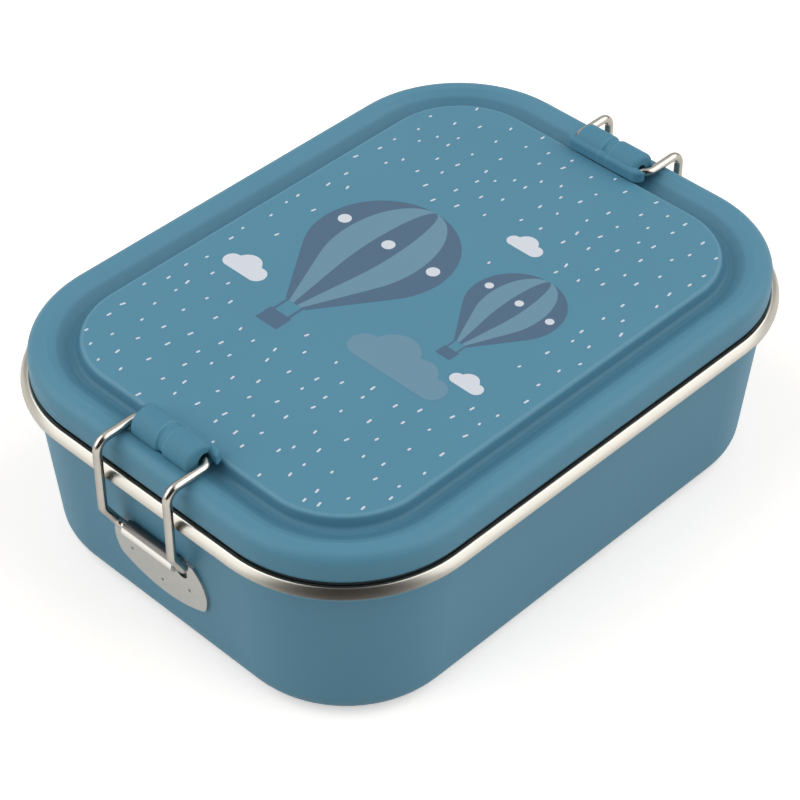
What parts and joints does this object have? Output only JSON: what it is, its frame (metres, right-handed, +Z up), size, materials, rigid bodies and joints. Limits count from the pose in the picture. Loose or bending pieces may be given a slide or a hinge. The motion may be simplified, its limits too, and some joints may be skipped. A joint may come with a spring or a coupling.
{
  "type": "lunch box",
  "caption": "Child's stainless-steel lunch box: a drawn tray with a rolled rim, a pressed lid with a seal ring, and hinged wire clips with silicone grips that hold the lid shut.",
  "frame": {"origin": "under the middle of the tray's floor, on the surface it stands on", "axes": "+X along the box towards one clip, +Y across the box, +Z up"},
  "size_m": [0.1908, 0.1404, 0.0661],
  "materials": {
    "coated_tray": "satin blue powder coat outside, bare steel inside and on the rolled rim",
    "coated_lid": "satin blue powder coat with a small printed pattern, bare steel underneath",
    "seal": "matt dark silicone",
    "bracket_steel": "bare satin steel",
    "wire_steel": "polished spring wire",
    "silicone": "matt blue silicone"
  },
  "bodies": {
    "tray": {"tray": "coated_tray", "bracket_right": "bracket_steel", "bracket_left": "bracket_steel"},
    "lid": {"lid": "coated_lid", "lid_seal": "seal"},
    "clip_right": {"bail_right": "wire_steel", "grip_right": "silicone"},
    "clip_left": {"bail_left": "wire_steel", "grip_left": "silicone"}
  },
  "joints": [
    {"name": "lid_lift", "type": "slide", "parent": "tray", "child": "lid", "axis": [0, 0, 1], "range_m": [0, 0.12]},
    {"name": "clip_right_swing", "type": "hinge", "parent": "tray", "child": "clip_right", "pos_m": [0.08996, 0, 0.03222], "axis": [0, 1, 0], "range_deg": [0, 145]},
    {"name": "clip_left_swing", "type": "hinge", "parent": "tray", "child": "clip_left", "pos_m": [-0.08996, 0, 0.03222], "axis": [0, -1, 0], "range_deg": [0, 145]}
  ]
}
